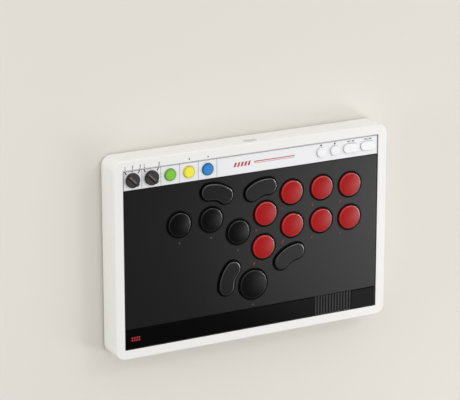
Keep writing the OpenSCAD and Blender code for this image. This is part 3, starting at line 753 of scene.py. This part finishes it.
BEAN_NUMBER_HEIGHT = 2.6
BEAN_NUMBERS = {9: (-58, 66), 10: (-12, 62), 11: (-40, -53), 12: (24, -38.5)}
bean_ink = marks("bean_numbers", screen(12, 12, 12), Z_FACE)
for count, at in BEAN_NUMBERS.items():
    bean_ink.number(str(count), BEAN_NUMBER_HEIGHT, at)
bean_ink.print_on("case", "ring")

# %% [markdown]
# ### Marks on the band and the knobs
# The left end of the band has two rows of small red squares, a plain accent that
# answers the one on the strip. Each knob has a pale pointer line along its grip, which is
# also a painted highlight along the grip's bar. The line rides on the dial's body and not
# on the case, so that it turns with the knob.

# %% Two rows of red squares at the left end of the band
SQUARE_SIDE, SQUARE_PITCH = 1.6, 2.5
SQUARE_FIRST = (-132.2, -81.4)
SQUARE_ROWS, SQUARES_IN_ROW = 2, 4

band_ink = marks("band_squares", screen(176, 30, 36), Z_FACE)
for row in range(SQUARE_ROWS):
    for count in range(SQUARES_IN_ROW):
        at = (SQUARE_FIRST[0] + SQUARE_PITCH * count, SQUARE_FIRST[1] + SQUARE_PITCH * row)
        band_ink.bar(SQUARE_SIDE, SQUARE_SIDE, at)
band_ink.print_on("case", "red_cap")

# %% Pointer lines on the knobs' grips, which are also painted highlights
DIAL_OF_KNOB = {"left_knob": "left_dial", "right_knob": "right_dial"}
POINTER_HIGHLIGHT_ENDS = ((2.2, -2.2), (-4.5, 4.5))
POINTER_HIGHLIGHT_WIDTH = 0.8
GRIP_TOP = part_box("left_knob")[1].z

for knob, body in DIAL_OF_KNOB.items():
    # Pale line: a pointer, and also a painted highlight along the grip's bar.
    pointer_highlight = marks(knob + "_pointer_highlight", screen(124, 114, 112), GRIP_TOP)
    pointer_highlight.stroke([beside(knob, end) for end in POINTER_HIGHLIGHT_ENDS], POINTER_HIGHLIGHT_WIDTH)
    pointer_highlight.print_on(body, "white_strip")

# %% [markdown]
# ## The socket's contacts
# The tongue inside the socket carries a row of gold contacts on each side, half a
# millimetre apart. They are seen only from behind, but that is where a socket is
# looked at, so each is a thin raised strip with its own edges. The same class that
# raises ink makes them, with gold as the finish.

# %% Gold contacts on both faces of the tongue
CONTACTS, CONTACT_PITCH = 12, 0.5
CONTACT_SIZE = (0.26, 3.6)
CONTACT_FROM_BACK = 2.6
TONGUE_HALF = 0.35 * MM

socket_low, socket_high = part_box("usb_socket")
tongue_z = (socket_low.z + socket_high.z) / 2
contact_y = socket_high.y / MM - CONTACT_FROM_BACK
contact_rows = {
    "contacts_top": tongue_z + TONGUE_HALF,
    "contacts_bottom": tongue_z - TONGUE_HALF - INK_THICKNESS,
}
for name, base_z in contact_rows.items():
    row = Ink(name, contact_gold, base_z)
    for count in range(CONTACTS):
        row.bar(*CONTACT_SIZE, ((count - (CONTACTS - 1) / 2) * CONTACT_PITCH, contact_y))
    row.print_on("case", "socket_metal")

# %% [markdown]
# ## The floor and the room
# The floor is plain and pale. The room gives most of the light. It is brighter behind
# the controller than in front of it, which draws the light lines along the back edges
# of the caps and leaves their front edges dark, and a little brighter on the right
# than on the left. The strength of the room is a plain sum over the direction, so a
# surface that faces upwards gets the same light however far the room is tilted.

# %% Floor and world
FLOOR_HALF = 3.0
floor_signs = ((-1, -1), (1, -1), (1, 1), (-1, 1))
floor_corners = [(x * FLOOR_HALF, y * FLOOR_HALF, 0) for x, y in floor_signs]
floor_mesh = bpy.data.meshes.new("floor")
floor_mesh.from_pydata(floor_corners, [], [(0, 1, 2, 3)])
floor = bpy.data.objects.new("floor", floor_mesh)
bpy.context.scene.collection.objects.link(floor)
floor_paint = Finish("floor_paint", Roughness=0.9, Specular_IOR_Level=0.1)
floor_paint.feed("Base Color", screen(231, 227, 219))
floor_mesh.materials.append(floor_paint.material)

ROOM_COLOUR = screen(228, 228, 228)
ROOM_STRENGTH = 0.94
ROOM_TILT = (0.26, 0.57, 0)
world = bpy.data.worlds.new("room")
bpy.context.scene.world = world
world.use_nodes = True
room = world.node_tree.nodes["Background"]
room.inputs["Color"].default_value = ROOM_COLOUR
direction = world.node_tree.nodes.new("ShaderNodeTexCoord")
tilt = world.node_tree.nodes.new("ShaderNodeVectorMath")
tilt.operation = "DOT_PRODUCT"
tilt.inputs[1].default_value = ROOM_TILT
strength = world.node_tree.nodes.new("ShaderNodeMath")
strength.inputs[1].default_value = ROOM_STRENGTH
world.node_tree.links.new(direction.outputs["Generated"], tilt.inputs[0])
world.node_tree.links.new(tilt.outputs["Value"], strength.inputs[0])
world.node_tree.links.new(strength.outputs["Value"], room.inputs["Strength"])
print("floor", 2 * FLOOR_HALF, "m wide, room strength", ROOM_STRENGTH, "tilt", ROOM_TILT)

# %% [markdown]
# ## The lamps
# Five softboxes do what the room can't. Each is aimed at the middle of the face. Their
# strengths were found by rendering each lamp alone, and they add up so that a white
# surface facing upwards renders about as white as it is written.
#
# - glow: a long softbox on the right, for the wide glow on the face
# - sweep: a softbox on the right that shows only in gloss, for the light right side of
#   every crowned cap
# - key: a small lamp at the back right, for the soft shadows
# - edge: a low strip on the right that shows only in glossy edges
# - fill: a low lamp on the left that lights the left wall and shows in no gloss


# %% Lamps
def softbox(name, place, size, power, diffuse=True, gloss=True):
    """A rectangular lamp of a size in metres, aimed at the middle of the face."""
    lamp = bpy.data.lights.new(name, "AREA")
    lamp.shape = "RECTANGLE"
    lamp.size, lamp.size_y = size
    lamp.energy = power
    holder = bpy.data.objects.new(name, lamp)
    bpy.context.scene.collection.objects.link(holder)
    holder.location = place
    holder.visible_diffuse, holder.visible_glossy = diffuse, gloss
    aim = Vector((0, 0, Z_FACE)) - Vector(place)
    holder.rotation_mode = "QUATERNION"
    holder.rotation_quaternion = aim.to_track_quat("-Z", "Y")
    print(name, "at", place, "power", power)


softbox("glow", (0.87, -0.47, 0.82), size=(0.3, 0.9), power=3.4)
softbox("sweep", (0.93, -0.22, 0.9), size=(0.4, 0.25), power=5, diffuse=False)
softbox("key", (0.55, 0.75, 1.1), size=(0.4, 0.2), power=1.4)
softbox("edge", (1.1, 0.1, 0.28), size=(0.9, 0.1), power=6.5, diffuse=False)
softbox("fill", (-1.0, 0.2, 0.25), size=(0.6, 0.3), power=2.1, gloss=False)
